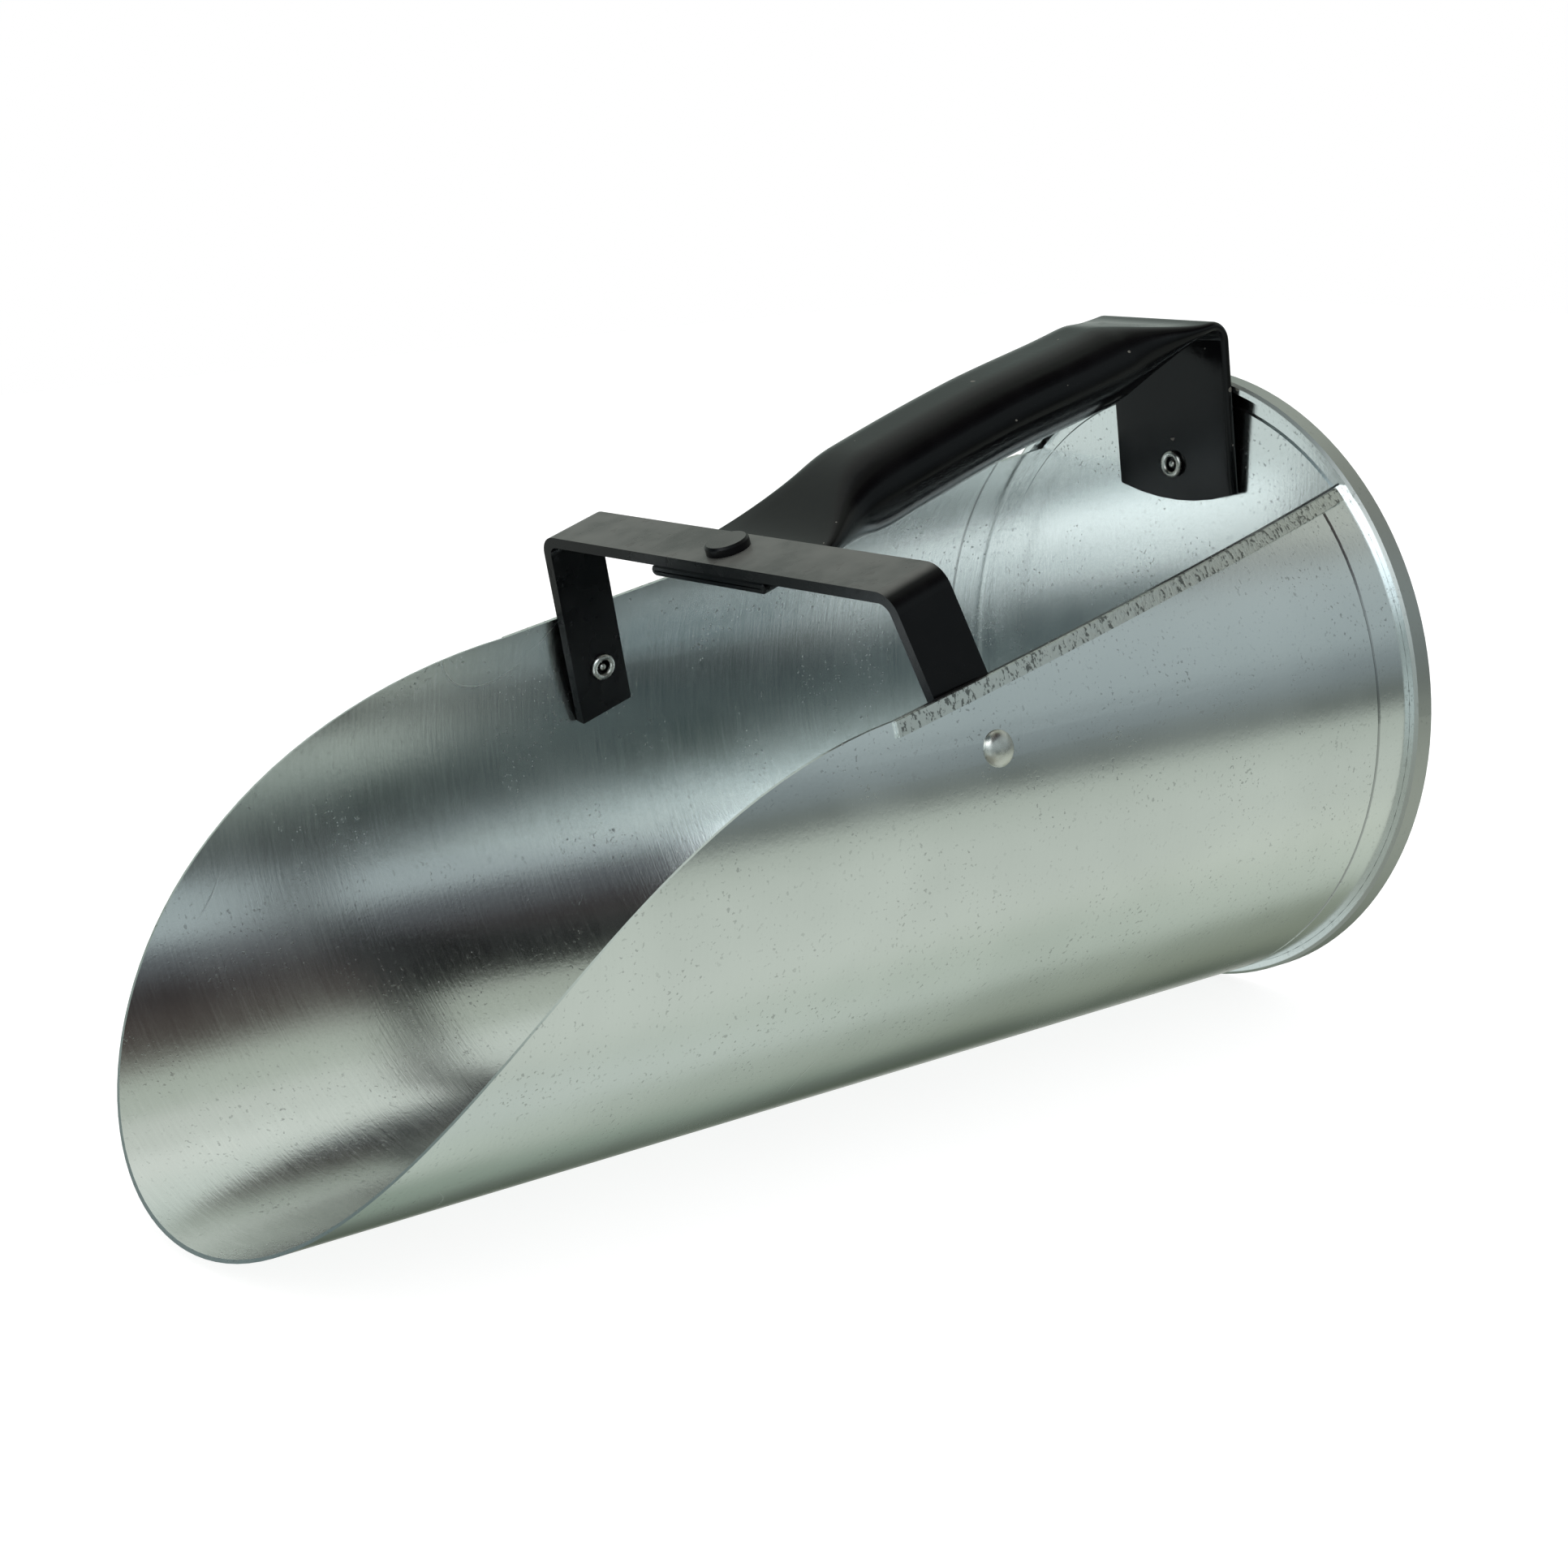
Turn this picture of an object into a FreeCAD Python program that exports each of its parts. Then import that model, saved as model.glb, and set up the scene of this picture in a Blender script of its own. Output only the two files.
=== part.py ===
import FreeCAD, Part
import math
import os
import Sketcher

# Galvanised feed scoop with a bridge strap and a flattened-tube handle.
# Every piece is drawn about the scoop's own axis: X across, Y along the axis with the mouth
# towards -Y, Z up, and Y = 0 at the front edge of the rim seam. One shift then stands the
# scoop on Z = 0 with its origin under the middle of its length.

DRIVING = {
    # rolled body
    "bodyRadius": 70.0,        # outside radius of the rolled sheet
    "bodySheet": 0.7,          # sheet thickness of the body
    "lipReach": 267.5,         # lip to the front edge of the seam
    "mouthHalfWidth": 133.8,   # half ellipse cut in the flat blank: half width
    "mouthCentre": 125.3,      # and its centre, ahead of the seam
    "edgeStart": 145.0,        # where the mouth cut meets the straight top edge
    "edgeStartAngle": 108.4,   # angle of the edge from the bottom line, there
    "edgeRearAngle": 134.8,    # and at the seam
    "hemWidth": 3.2,           # outward hem along the top edges
    "hemRearGap": 2.6,         # hem ends this far ahead of the seam
    "grooveAhead": 10.0,       # fine tool groove rolled beside the seam
    "grooveWidth": 0.9,
    "grooveDepth": 0.2,
    # end disc and its double seam
    "discSheet": 0.6,
    "seamWidth": 5.5,          # width of the rim band along the axis
    "seamGap": 0.03,           # play between the folded layers
    "panelDepth": 2.3,         # panel face behind the front edge of the seam
    "panelInset": 3.5,         # crease round the flat panel, inside the body's radius
    "panelStep": 0.5,
    # bridge strap
    "strapWidth": 14.2,
    "strapThick": 2.5,
    "strapSplay": 12.1,        # legs lean outwards
    "strapLeg": 48.5,
    "strapBend": 5.5,          # outer bend radius
    "strapTilt": 17.2,         # whole strap leans, rear edge of the top higher
    "strapAhead": 131.9,       # middle of the top, ahead of the seam
    "strapHeight": 46.9,       # and above the axis
    # handle
    "plyThick": 1.2,           # wall of the handle tube
    "flatHalfWidth": 19.2,     # half width where the front is pressed flat
    "frontOverhang": 0.4,      # the flat end shows ahead of the strap
    "gripHalfWidth": 12.8,
    "gripHalfHeight": 9.0,
    "frontTaper": 30.0,        # from flat to full grip
    "rearTaper": 24.0,
    "gripAhead": 100.0,        # centre line of the grip, front
    "gripRise": 7.4,           # above the strap's top
    "gripRearAhead": 26.0,     # and rear
    "gripRearDrop": 3.0,       # below the centre of the rear bend
    "gripArch": 1.2,           # arch between the two
    "heelRise": 9.1,           # centre of the rear bend above the body's top
    "heelBend": 5.0,           # outer radius of the rear bend
    "heelSlope": 11.0,
    "tabHalfWidth": 18.3,
    "tabReach": 28.6,          # lowest point of the tab below the body's top
    "tabFootCurve": 60.0,      # radius of its rounded foot
    # rivets
    "sideRivetAhead": 120.5,
    "sideRivetAngle": 100.5,
    "shankRadius": 1.9,
    "headRadius": 3.75,
    "headHeight": 1.6,
    "rollRadius": 3.2,
    "rollHeight": 1.1,
    "frontShankRadius": 2.6,
    "frontHeadRadius": 4.8,
    "frontHeadHeight": 2.1,
    "frontTailRadius": 4.2,
    "frontTailHeight": 1.6,
    "rearRivetRise": 8.8,      # above the tab's foot
    "holePlay": 0.05,
    "seatPlay": 0.03,          # play between pieces that sit face to face
}

doc = FreeCAD.newDocument("FeedScoop")
sheet = doc.addObject("Spreadsheet::Sheet", "Sizes")
for row, (alias, size) in enumerate(DRIVING.items(), start=1):
    sheet.set("A%d" % row, alias)
    sheet.set("B%d" % row, str(size))
    sheet.setAlias("B%d" % row, alias)
doc.recompute()


def expr(text):
    """Turns {name} into a reference to the sheet."""
    return text.replace("{", "Sizes.").replace("}", "")


def value(text):
    found = sheet.evalExpression(expr(text))
    return float(getattr(found, "Value", found))


# Radii of the four seam layers outside the body wall, and the shift to the standing frame.
BODY_INNER = "({bodyRadius} - {bodySheet})"
COVER_IN = "({bodyRadius} + {seamGap})"
COVER_OUT = "({bodyRadius} + {seamGap} + {discSheet})"
HOOK_IN = "({bodyRadius} + 2 * {seamGap} + {discSheet})"
HOOK_OUT = "({bodyRadius} + 2 * {seamGap} + {discSheet} + {bodySheet})"
RIM_IN = "({bodyRadius} + 3 * {seamGap} + {discSheet} + {bodySheet})"
RIM_OUT = "({bodyRadius} + 3 * {seamGap} + 2 * {discSheet} + {bodySheet})"
CHUCK_OUT = "({bodyRadius} - {bodySheet} - {seamGap})"
CHUCK_IN = "({bodyRadius} - {bodySheet} - {seamGap} - {discSheet})"
BODY_REAR = "({seamWidth} - {discSheet} - {seamGap})"
PANEL_RADIUS = "({bodyRadius} - {panelInset})"
HEEL_HEIGHT = "({bodyRadius} + {heelRise})"
TAB_FOOT = "({bodyRadius} - {tabReach})"
REAR_RIVET = "({bodyRadius} - {tabReach} + {rearRivetRise})"
SHIFT_Y = "(({lipReach} - {seamWidth}) / 2)"
SHIFT_Z = RIM_OUT

PLANES = {
    "XY": FreeCAD.Rotation(),
    "XZ": FreeCAD.Rotation(FreeCAD.Vector(1, 0, 0), 90),
    "YZ": FreeCAD.Rotation(FreeCAD.Vector(1, 1, 1), 120),
}


def pin(sketch, geo, pos, across, up):
    """Holds a sketch point at two formulas."""
    for kind, text, axis in (("DistanceX", across, -2), ("DistanceY", up, -1)):
        number = value(text)
        if text == "0":
            sketch.addConstraint(Sketcher.Constraint("PointOnObject", geo, pos, axis))
            continue
        sketch.addConstraint(Sketcher.Constraint(kind, -1, 1, geo, pos, number))
        sketch.setExpression("Constraints[%d]" % (sketch.ConstraintCount - 1), expr(text))


def outline(sketch, corners, arcs=()):
    """Closed outline through corners; arcs maps a side's number to (radius, hand, centre)."""
    arcs = dict(arcs)
    points = [FreeCAD.Vector(value(a), value(b), 0) for a, b in corners]
    count = len(points)
    for side in range(count):
        start, end = points[side], points[(side + 1) % count]
        if side in arcs:
            radius, bulge = arcs[side]
            size = value(radius)
            half = (end - start) * 0.5
            rise = (size ** 2 - half.Length ** 2) ** 0.5
            normal = FreeCAD.Vector(-half.y, half.x, 0).normalize() * bulge
            middle = start + half + normal * (size - rise)
            sketch.addGeometry(Part.Arc(start, middle, end), False)
        else:
            sketch.addGeometry(Part.LineSegment(start, end), False)
    ends = []
    for side in range(count):
        swapped = side in arcs and (sketch.Geometry[side].StartPoint - points[side]).Length > 1e-6
        ends.append((2, 1) if swapped else (1, 2))
    for side in range(count):
        after = (side + 1) % count
        sketch.addConstraint(Sketcher.Constraint("Coincident", side, ends[side][1], after, ends[after][0]))
    for side, (across, up) in enumerate(corners):
        pin(sketch, side, ends[side][0], across, up)
    for side, (radius, bulge) in arcs.items():
        sketch.addConstraint(Sketcher.Constraint("Radius", side, value(radius)))
        sketch.setExpression("Constraints[%d]" % (sketch.ConstraintCount - 1), expr(radius))


def looseSketch(name, plane, corners, arcs=()):
    sketch = doc.addObject("Sketcher::SketchObject", name)
    sketch.Placement = FreeCAD.Placement(FreeCAD.Vector(), PLANES[plane])
    outline(sketch, corners, arcs)
    return sketch


def bodySketch(body, name, plane, corners, arcs=()):
    sketch = body.newObject("Sketcher::SketchObject", name)
    origin = [f for f in body.Origin.OriginFeatures if f.Role == plane + "_Plane"][0]
    sketch.AttachmentSupport = (origin, "")
    sketch.MapMode = "FlatFace"
    outline(sketch, corners, arcs)
    return sketch


def bind(thing, **formulas):
    for name, text in formulas.items():
        thing.setExpression(name.replace("_", "."), expr(text))
    return thing


def place(thing, across="0", along="0", up="0", axis=None, angle=None):
    """Places a finished sub-part, given in the scoop's axis frame, on its stand."""
    if axis:
        thing.Placement = FreeCAD.Placement(FreeCAD.Vector(), FreeCAD.Rotation(FreeCAD.Vector(*axis), value(angle)))
        thing.setExpression("Placement.Rotation.Angle", expr("(%s) * 1 deg" % angle))
    bind(thing, Placement_Base_x=across, Placement_Base_y="(%s) + %s" % (along, SHIFT_Y),
         Placement_Base_z="(%s) + %s" % (up, SHIFT_Z))
    return thing


def prism(name, sketch, width):
    solid = doc.addObject("Part::Extrusion", name)
    solid.Base = sketch
    solid.DirMode = "Normal"
    solid.Solid = True
    solid.Symmetric = True
    return bind(solid, LengthFwd=width)


def cylinder(name, radius, height, base, direction):
    """Round bar from a base point along a direction, both as formulas or plain vectors."""
    bar = doc.addObject("Part::Cylinder", name)
    turn = FreeCAD.Rotation(FreeCAD.Vector(0, 0, 1), FreeCAD.Vector(*direction))
    bar.Placement = FreeCAD.Placement(FreeCAD.Vector(), turn)
    bind(bar, Radius=radius, Height=height)
    return bind(bar, Placement_Base_x=base[0], Placement_Base_y=base[1], Placement_Base_z=base[2])


def combine(kind, name, first, *rest):
    solid = first
    for number, other in enumerate(rest, start=1):
        result = doc.addObject("Part::" + kind, name if number == len(rest) else "%s%d" % (name, number))
        result.Base = solid
        result.Tool = other
        solid = result
    return solid


def revolved(name, corners, arcs=()):
    """PartDesign body: an outline of (radius, along) turned about its own Y axis."""
    body = doc.addObject("PartDesign::Body", name)
    sketch = bodySketch(body, name + "Outline", "XY", corners, arcs)
    turned = body.newObject("PartDesign::Revolution", name + "Turned")
    turned.Profile = sketch
    turned.ReferenceAxis = (sketch, ["V_Axis"])
    turned.Angle = 360
    return body


def edgeHeight(angle):
    return "(-{bodyRadius} * cos(%s))" % angle


# --- rolled body: wall and seam hook turned as one ring, mouth and top cut away, edges hemmed
FAR = "({bodyRadius} + 20)"
MOUTH_STEPS = 16
ROUND_STEPS = 6


def bodyRing():
    corners = [
        (BODY_INNER, "-{lipReach} - 5"), ("{bodyRadius}", "-{lipReach} - 5"),
        ("{bodyRadius}", "-{grooveAhead} - {grooveWidth} / 2"), ("{bodyRadius} - {grooveDepth}", "-{grooveAhead}"),
        ("{bodyRadius}", "-{grooveAhead} + {grooveWidth} / 2"),
        ("{bodyRadius}", BODY_REAR + " - {bodySheet}"), (HOOK_IN, BODY_REAR + " - {bodySheet}"),
        (HOOK_IN, "{discSheet} + {seamGap}"), (HOOK_OUT, "{discSheet} + {seamGap}"),
        (HOOK_OUT, BODY_REAR), (BODY_INNER, BODY_REAR)]
    ring = doc.addObject("Part::Revolution", "WallRing")
    ring.Source = looseSketch("WallOutline", "XY", corners)
    ring.Axis = FreeCAD.Vector(0, 1, 0)
    ring.Angle = 360
    ring.Solid = True
    return ring


def edgeLine(along):
    """Height of the straight top edge at a distance along the axis."""
    rise = "(%s - %s) / {edgeStart}" % (edgeHeight("{edgeRearAngle}"), edgeHeight("{edgeStartAngle}"))
    return "(%s + (%s) * (%s))" % (edgeHeight("{edgeRearAngle}"), rise, along)


def bodyOpening():
    """Tool that leaves the mouth: the rolled-up half ellipse of the flat blank, then the top edge."""
    radius, lip, start = value("{bodyRadius}"), value("{lipReach}"), value("{edgeStart}")
    centre, around = value("{mouthCentre}"), value("{mouthHalfWidth}")
    far, rear = value(FAR), value("{seamWidth} + 5")
    level = value(edgeHeight("{edgeStartAngle}"))
    last = math.acos(-level / radius)
    points = []
    for step in range(MOUTH_STEPS + 1):
        angle = last * step / MOUTH_STEPS
        along = -centre - (lip - centre) * math.sqrt(max(0.0, 1 - (radius * angle / around) ** 2))
        points.append(FreeCAD.Vector(-2 * far, along, -radius * math.cos(angle)))
    meeting = FreeCAD.Vector(-2 * far, -start, level)
    points[-1] = meeting
    curve = Part.BSplineCurve()
    curve.interpolate(points)
    corners = [meeting, FreeCAD.Vector(-2 * far, rear, value(edgeLine("{seamWidth} + 5"))),
               FreeCAD.Vector(-2 * far, rear, far), FreeCAD.Vector(-2 * far, -lip - 20, far),
               FreeCAD.Vector(-2 * far, -lip - 20, -far), FreeCAD.Vector(-2 * far, -lip, -far), points[0]]
    edges = [curve.toShape()]
    edges += [Part.makeLine(p, q) for p, q in zip(corners, corners[1:])]
    opening = doc.addObject("Part::Feature", "Opening")
    opening.Shape = Part.Face(Part.Wire(edges)).extrude(FreeCAD.Vector(4 * far, 0, 0))
    return opening


def hemDrop(angle):
    return "({hemWidth} * sin(%s))" % angle


def bodyHem():
    front, rear = "-{edgeStart}", "-{hemRearGap}"
    corners = [
        (front, edgeLine(front)), (front, "%s - %s" % (edgeLine(front), hemDrop("{edgeStartAngle}"))),
        (rear, "%s - %s" % (edgeLine(rear), hemDrop("{edgeRearAngle}"))), (rear, edgeLine(rear))]
    band = prism("HemBand", looseSketch("HemOutline", "YZ", corners), "4 * " + FAR)
    length = "{edgeStart} + 10"
    base = ("0", "-{edgeStart} - 5", "0")
    outer = cylinder("HemOuter", "{bodyRadius} + {bodySheet}", length, base, (0, 1, 0))
    inner = cylinder("HemInner", "{bodyRadius} - {bodySheet} / 2", length, base, (0, 1, 0))
    return combine("Common", "Hem", combine("Cut", "HemRing", outer, inner), band)


RIVET_X = "({bodyRadius} * sin({sideRivetAngle}))"
RIVET_Z = edgeHeight("{sideRivetAngle}")


def rivetDirection(side):
    return (side * value("sin({sideRivetAngle})"), 0, value("-cos({sideRivetAngle})"))


def sideHole(name, side):
    """Drill along a side rivet's axis, from inside the scoop outwards."""
    base = ("%d * 0.8 * %s" % (side, RIVET_X), "-{sideRivetAhead}", "0.8 * " + RIVET_Z)
    return cylinder(name, "{shankRadius} + {holePlay}", "{bodyRadius} * 0.3", base, rivetDirection(side))


def bodySheet():
    wall = combine("Cut", "Wall", bodyRing(), bodyOpening())
    hemmed = combine("Fuse", "HemmedWall", wall, bodyHem())
    sheetPart = combine("Cut", "body_sheet", hemmed, sideHole("WallDrillL", -1), sideHole("WallDrillR", 1))
    return place(sheetPart)


# --- end disc: panel, crease, chuck wall, over the rear and hooked under the body's flange
def backDisc():
    panelBack = "{panelDepth} + {discSheet}"
    ringFace = "{panelDepth} + {panelStep}"
    corners = [
        ("0", "{panelDepth}"), (PANEL_RADIUS + " - {panelStep}", "{panelDepth}"),
        (PANEL_RADIUS, ringFace), (CHUCK_OUT, ringFace),
        (CHUCK_OUT, "{seamWidth} - {discSheet}"), (RIM_IN, "{seamWidth} - {discSheet}"),
        (RIM_IN, "{discSheet}"), (COVER_OUT, "{discSheet}"),
        (COVER_OUT, BODY_REAR + " - {bodySheet} - {seamGap}"),
        (COVER_IN, BODY_REAR + " - {bodySheet} - {seamGap}"),
        (COVER_IN, "0"), (RIM_IN, "0"), (RIM_OUT, "{discSheet}"),
        (RIM_OUT, "{seamWidth} - {discSheet}"), (RIM_IN, "{seamWidth}"),
        (CHUCK_IN, "{seamWidth}"), (CHUCK_IN, ringFace + " + {discSheet}"),
        (PANEL_RADIUS + " - {discSheet} / 2", ringFace + " + {discSheet}"),
        (PANEL_RADIUS + " - {panelStep} - {discSheet} / 2", panelBack), ("0", panelBack)]
    body = revolved("DiscBody", corners)
    hole = cylinder("DiscDrill", "{shankRadius} + {holePlay}", "20", ("0", "-5", REAR_RIVET), (0, 1, 0))
    return place(combine("Cut", "back_disc", body, hole))


# Foot of a leg, its place against the wall, and from there the half span at the sharp corner.
LEG_FOOT = "({strapHeight} - {strapLeg} * cos({strapSplay}) * cos({strapTilt}) + {strapWidth} / 2 * sin({strapTilt}))"
SPAN = "(sqrt(%s ^ 2 - %s ^ 2) - 6 * {seatPlay} - {strapLeg} * sin({strapSplay}))" % (BODY_INNER, LEG_FOOT)
# Radius at which a side rivet's axis meets the leg's outer face, and the angle between them.
LEG_AT_RIVET = (
    "((cos({strapSplay}) * %s + sin({strapSplay}) * sin({strapTilt}) * ({strapAhead} - {sideRivetAhead})"
    " + sin({strapSplay}) * cos({strapTilt}) * {strapHeight})"
    " / (cos({strapSplay}) * sin({sideRivetAngle}) - sin({strapSplay}) * cos({strapTilt}) * cos({sideRivetAngle})))"
) % SPAN
LEG_SLANT = "(abs(sin({strapSplay}) * sin({strapTilt})))"


# --- bridge strap: one flat bar bent twice, legs splayed, leaning back as a whole
def bridgeStrap():
    legX = "(%s + {strapLeg} * sin({strapSplay}))" % SPAN
    legZ = "(-{strapLeg} * cos({strapSplay}))"
    inX = "({strapThick} * cos({strapSplay}))"
    inZ = "({strapThick} * sin({strapSplay}))"
    inTop = "(%s - {strapThick} / cos({strapSplay}) + {strapThick} * tan({strapSplay}))" % SPAN
    right = [(SPAN, "0"), (legX, legZ), ("%s - %s" % (legX, inX), "%s - %s" % (legZ, inZ)),
             (inTop, "-{strapThick}")]
    left = [("-(%s)" % across, up) for across, up in reversed(right)]
    body = doc.addObject("PartDesign::Body", "StrapBody")
    sketch = bodySketch(body, "StrapOutline", "XZ", right + left)
    bar = body.newObject("PartDesign::Pad", "StrapBar")
    bar.Profile = sketch
    bar.Midplane = True
    bind(bar, Length="{strapWidth}")
    doc.recompute()
    bends = body.newObject("PartDesign::Fillet", "StrapOuterBends")
    bends.Base = (bar, cornerEdges(bar, value(SPAN), 0.0))
    bind(bends, Radius="{strapBend}")
    doc.recompute()
    folds = body.newObject("PartDesign::Fillet", "StrapInnerBends")
    folds.Base = (bends, cornerEdges(bends, value(inTop), -value("{strapThick}")))
    bind(folds, Radius="{strapBend} - {strapThick}")
    body.Placement = FreeCAD.Placement(FreeCAD.Vector(), FreeCAD.Rotation(FreeCAD.Vector(1, 0, 0), value("{strapTilt}")))
    body.setExpression("Placement.Rotation.Angle", expr("{strapTilt} * 1 deg"))
    bind(body, Placement_Base_y="-{strapAhead}", Placement_Base_z="{strapHeight}")
    holes = [sideHole("StrapDrillL", -1), sideHole("StrapDrillR", 1), frontDrill("StrapDrillTop")]
    return place(combine("Cut", "bridge_strap", body, *holes))


def cornerEdges(feature, across, up):
    """Names of the edges that run along Y at +-across and the given height."""
    found = []
    for number, edge in enumerate(feature.Shape.Edges, start=1):
        ends = [vertex.Point for vertex in edge.Vertexes]
        crosses = abs(ends[0].x - ends[-1].x) > 0.01
        if not crosses and all(abs(abs(p.x) - across) < 0.01 and abs(p.z - up) < 0.01 for p in ends):
            found.append("Edge%d" % number)
    return found


# --- handle: tube pressed flat at both ends, arched between, turned down at the heel
def strapPoint(along, below):
    """A point in the strap's leaning frame, along its width and below its top face."""
    point = ("-{strapAhead} + (%s) * cos({strapTilt}) + (%s) * sin({strapTilt})" % (along, below),
             "{strapHeight} + (%s) * sin({strapTilt}) - (%s) * cos({strapTilt})" % (along, below))
    return point


def frontDrill(name, radius="{frontShankRadius} + {holePlay}"):
    along, up = strapPoint("0", "20")
    tilt = value("{strapTilt}")
    turn = FreeCAD.Rotation(FreeCAD.Vector(1, 0, 0), tilt).multVec(FreeCAD.Vector(0, 0, 1))
    return cylinder(name, radius, "40", ("0", along, up), tuple(turn))


PLY_BELOW = "({strapThick} + {seatPlay} + {plyThick})"


# The tab leans on the rim's front edge and stands with its foot against the panel.
TAB_REST = "(sqrt(%s ^ 2 - {tabHalfWidth} ^ 2))" % COVER_IN
TAB_LEAN = "(atan(({panelDepth} - {seatPlay}) / (%s - %s)))" % (TAB_REST, TAB_FOOT)
HEEL_AHEAD = "(({heelBend} - (%s - %s) * sin(%s)) / cos(%s) + {seatPlay})" % (TAB_REST, HEEL_HEIGHT, TAB_LEAN, TAB_LEAN)


def tabBack(height):
    """Rear face of the tab at a height, behind the seam's front edge."""
    return "((%s - %s) * tan(%s) - {seatPlay})" % (TAB_REST, height, TAB_LEAN)


def ease(share):
    share = min(1.0, max(0.0, share))
    return share * share * (3 - 2 * share)


def ovalWire(centre, tangent, halfWidth, halfHeight):
    """Flat-sided oval across the handle: two straight sides and two finely faceted half rounds."""
    across, run = FreeCAD.Vector(1, 0, 0), FreeCAD.Vector(tangent).normalize()
    up = across.cross(run)
    flat = halfWidth - halfHeight
    points = []
    for side in (1, -1):
        for step in range(ROUND_STEPS + 1):
            turn = math.pi * step / ROUND_STEPS
            x = side * (flat + halfHeight * math.sin(turn))
            z = side * halfHeight * math.cos(turn)
            points.append(centre + across * x + up * z)
    return Part.makePolygon(points + points[:1])


def flatDirection(angle):
    return FreeCAD.Vector(0, math.cos(math.radians(angle)), math.sin(math.radians(angle)))


def handlePath():
    """Centre line between the two flat ends, and the unit slopes there."""
    ply = value("{plyThick}")
    start = FreeCAD.Vector(0, *[value(text) for text in strapPoint("{strapWidth} / 2 + 1", PLY_BELOW)])
    heel = FreeCAD.Vector(0, -value(HEEL_AHEAD), value(HEEL_HEIGHT))
    slope = value("{heelSlope}")
    end = heel + FreeCAD.Rotation(FreeCAD.Vector(1, 0, 0), 90).multVec(flatDirection(slope)) * (value("{heelBend}") - ply)
    front = FreeCAD.Vector(0, -value("{gripAhead}"), value("{strapHeight} + {gripRise}"))
    rear = FreeCAD.Vector(0, -value("{gripRearAhead}"), value(HEEL_HEIGHT + " - {gripRearDrop}"))
    middle = (front + rear) * 0.5 + FreeCAD.Vector(0, 0, value("{gripArch}"))
    curve = Part.BSplineCurve()
    curve.interpolate(Points=[start, front, middle, rear, end],
                      InitialTangent=flatDirection(value("{strapTilt}")), FinalTangent=flatDirection(slope))
    return curve, heel


def handleStations(curve):
    """Points, directions and half sizes along the middle of the handle."""
    length = curve.length()
    wide, grip = value("{flatHalfWidth}"), value("{gripHalfWidth}")
    rearWide = value("{tabHalfWidth}")
    ply, tall = value("{plyThick}"), value("{gripHalfHeight}")
    frontRun, rearRun = value("{frontTaper}"), value("{rearTaper}")
    places = [0.0, 0.04, 0.3, 0.55, 0.8, 1.0, 1.35, 1.8]
    distances = [share * frontRun for share in places]
    distances += [length - share * rearRun for share in reversed(places)]
    rows = []
    for number, distance in enumerate(distances):
        ahead = number < len(places)
        swell = ease(distance / frontRun) if ahead else ease((length - distance) / rearRun)
        at = curve.parameterAtDistance(distance, curve.FirstParameter)
        flat = wide if ahead else rearWide
        narrow = ease(1.35 * distance / frontRun) if ahead else ease(1.2 * (length - distance) / rearRun)
        rows.append((curve.value(at), curve.tangent(at)[0], flat + (grip - flat) * narrow, ply + (tall - ply) * swell))
    return rows


def handleTube():
    curve, heel = handlePath()
    rows = handleStations(curve)
    ply = value("{plyThick}")
    skin = Part.makeLoft([ovalWire(*row) for row in rows], True, True)
    # the flat front end, back under the strap's top
    first, last = Part.Face(ovalWire(*rows[0])), Part.Face(ovalWire(*rows[-1]))
    frontEnd = first.extrude(flatDirection(value("{strapTilt}")) * -(value("{strapWidth}") + 1 + value("{frontOverhang}")))
    # round the heel, then down the tab
    turn = -(90 - value(TAB_LEAN) + value("{heelSlope}"))
    bend = last.revolve(heel, FreeCAD.Vector(1, 0, 0), turn)
    rearFace = last.copy()
    rearFace.rotate(heel, FreeCAD.Vector(1, 0, 0), turn)
    down = flatDirection(value(TAB_LEAN) - 90)
    tab = rearFace.extrude(down * ((heel.z - value(TAB_FOOT)) / abs(down.z) + 1))
    solid = doc.addObject("Part::Feature", "TubeOutside")
    solid.Shape = frontEnd.multiFuse([skin, bend, tab]).removeSplitter()
    bore = doc.addObject("Part::Feature", "TubeBore")
    inside = [(p, t, w - ply, h - ply) for p, t, w, h in rows if h > 1.6 * ply]
    bore.Shape = Part.makeLoft([ovalWire(*row) for row in inside], True, True)
    # rounded foot of the tab: a plate with a wide round end, taken away below it
    foot = cylinder("FootRound", "{tabFootCurve}", "60", ("0", "-30", TAB_FOOT + " + {tabFootCurve}"), (0, 1, 0))
    corners = [(across, TAB_FOOT + rise) for across, rise in (("-40", " + 12"), ("40", " + 12"), ("40", " - 10"), ("-40", " - 10"))]
    block = prism("FootBlock", looseSketch("FootOutline", "XZ", corners), "60")
    trim = combine("Cut", "FootTrim", block, foot)
    rearHole = cylinder("TabDrill", "{shankRadius} + {holePlay}", "20", ("0", "-10", REAR_RIVET), (0, 1, 0))
    tube = combine("Cut", "handle_tube", solid, bore, trim, frontDrill("PlyDrill"), rearHole)
    return place(tube)


# --- rivets: head at +Y, shank, rolled tail at -Y, about their own Y axis
def rivetOutline(grip):
    """Semi-tubular rivet: domed head above y = 0, tail rolled outwards below y = -grip."""
    tail = "(-(%s))" % grip
    return [
        ("0", "{headHeight}"), ("{headRadius} * 0.62", "{headHeight} * 0.8"),
        ("{headRadius}", "{headHeight} * 0.15"), ("{headRadius}", "0"),
        ("{shankRadius}", "0"), ("{shankRadius}", tail), ("{rollRadius}", tail),
        ("{rollRadius} * 0.8", tail + " - {rollHeight}"), ("{shankRadius} * 0.6", tail), ("0", tail)]


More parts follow.
